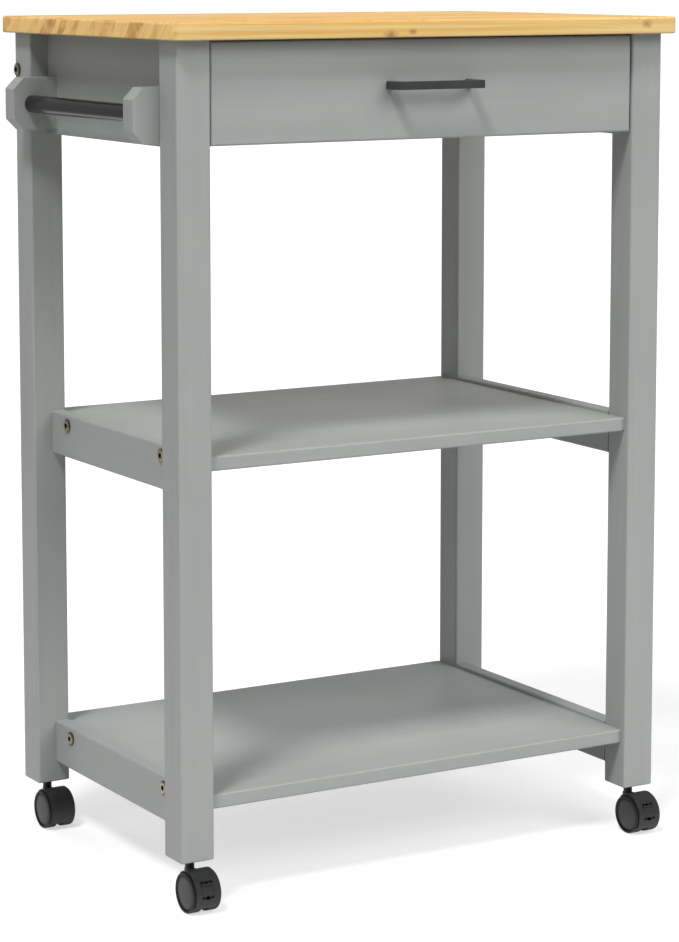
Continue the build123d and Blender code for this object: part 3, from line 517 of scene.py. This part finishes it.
for node, (axle_x, axle_y, axle_z) in AXLES.items():
    side = -1 if node.endswith("_a") else 1
    wheel = turned_wheel(f"turned_{node}", axle_x, axle_y, axle_z, side)
    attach(wheel, node)
    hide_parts(node)

for name, node in nodes.items():
    look = next(finishes[key] for start, key in LOOKS.items() if name.startswith(start))
    node.data.materials.clear()
    node.data.materials.append(look)


# ---------------------------------------------------------------- floor, light and camera
def soft_sun(name, azimuth, elevation, spread, strength):
    """A broad even light; azimuth 0 is straight in front, and it turns towards the left side."""
    data = bpy.data.lights.new(name, "SUN")
    data.angle = math.radians(spread)
    data.energy = strength
    lamp = bpy.data.objects.new(name, data)
    bpy.context.scene.collection.objects.link(lamp)
    turn, lift = math.radians(azimuth), math.radians(elevation)
    away = Vector((-math.sin(turn) * math.cos(lift), -math.cos(turn) * math.cos(lift), math.sin(lift)))
    lamp.location = away * 3.0
    lamp.rotation_euler = away.to_track_quat("Z", "Y").to_euler()
    lamp.visible_glossy = False
    return lamp


# Stage only. The lift is what the camera alone sees added to the floor. Reflections alone see its near
# part glow and its far part darker; the two meet between the near part's two radii, in metres.
FLOOR_LIFT = 0.58
FLOOR_GLOW = 0.42
FLOOR_NEAR = (1.65, 2.25)
FLOOR_FAR_TONE = (0.48, 0.48, 0.48)
floor_mesh = bpy.data.meshes.new("floor")
reach = 14.0
floor_corners = [(-reach, -reach, 0), (reach, -reach, 0), (reach, reach, 0), (-reach, reach, 0)]
floor_mesh.from_pydata(floor_corners, [], [(0, 1, 2, 3)])
floor = bpy.data.objects.new("floor", floor_mesh)
bpy.context.scene.collection.objects.link(floor)
g = Graph("pale_floor")
floor_tone = g.noise(g.place, 1.3, 2.0)
floor_path = g.tree.nodes.new("ShaderNodeLightPath").outputs
floor_away = g.vector("LENGTH", g.place)
floor_near = g.span(floor_away, *FLOOR_NEAR, 1.0, 0.0)
floor_glow = g.math("MULTIPLY", g.math("MULTIPLY", floor_path["Is Glossy Ray"], floor_near), FLOOR_GLOW)
floor_glow = g.math("MULTIPLY_ADD", floor_path["Is Camera Ray"], FLOOR_LIFT, floor_glow)
g.put(g.shader.inputs["Emission Strength"], floor_glow)
floor_colour = g.ramp(floor_tone, [(0.3, (0.50, 0.50, 0.50)), (0.7, (0.52, 0.52, 0.52))])
floor_far = g.math("MULTIPLY", floor_path["Is Glossy Ray"], g.math("SUBTRACT", 1.0, floor_near))
floor_colour = g.blend("MULTIPLY", floor_far, floor_colour, FLOOR_FAR_TONE)
floor_mesh.materials.append(g.finish(floor_colour, 0.9, Emission_Color=(1.0, 1.0, 1.0, 1.0)))

soft_sun("key", 54, 57, 13, 2.15)
soft_sun("left_fill", 78, 26, 34, 0.50)
soft_sun("front_fill", -15, 33, 40, 1.70)
soft_sun("right_front_fill", -45, 34, 30, 0.55)
soft_sun("right_fill", -100, 30, 40, 0.55)
soft_sun("back_fill", 170, 30, 40, 1.00)

# How bright the white world is to reflections and to the camera; it lights nothing else.
WORLD_SHINE = 0.35
WORLD_WHITE = 1.05
world = bpy.data.worlds.new("studio")
bpy.context.scene.world = world
world.use_nodes = True
tree = world.node_tree
tree.nodes.clear()
path = tree.nodes.new("ShaderNodeLightPath")
shine = tree.nodes.new("ShaderNodeMath")
shine.operation = "MULTIPLY"
shine.inputs[1].default_value = WORLD_SHINE
strength = tree.nodes.new("ShaderNodeMath")
strength.operation = "MULTIPLY_ADD"
strength.inputs[1].default_value = WORLD_WHITE
sky = tree.nodes.new("ShaderNodeBackground")
sky.inputs["Color"].default_value = (1.0, 1.0, 1.0, 1.0)
out = tree.nodes.new("ShaderNodeOutputWorld")
tree.links.new(path.outputs["Is Glossy Ray"], shine.inputs[0])
tree.links.new(path.outputs["Is Camera Ray"], strength.inputs[0])
tree.links.new(shine.outputs[0], strength.inputs[2])
tree.links.new(strength.outputs[0], sky.inputs["Strength"])
tree.links.new(sky.outputs[0], out.inputs[0])

camera_data = bpy.data.cameras.new("camera")
camera_data.lens = 112.9
camera_data.sensor_width = 36.0
camera_data.shift_y = -0.15
camera_data.clip_end = 100.0
camera = bpy.data.objects.new("camera", camera_data)
bpy.context.scene.collection.objects.link(camera)
camera.location = (-1.6136, -2.7698, 0.9603)
camera.rotation_euler = (math.radians(90.0 - 7.136), 0.0, -math.radians(30.386))
bpy.context.scene.camera = camera
bpy.context.scene.view_settings.view_transform = "Standard"
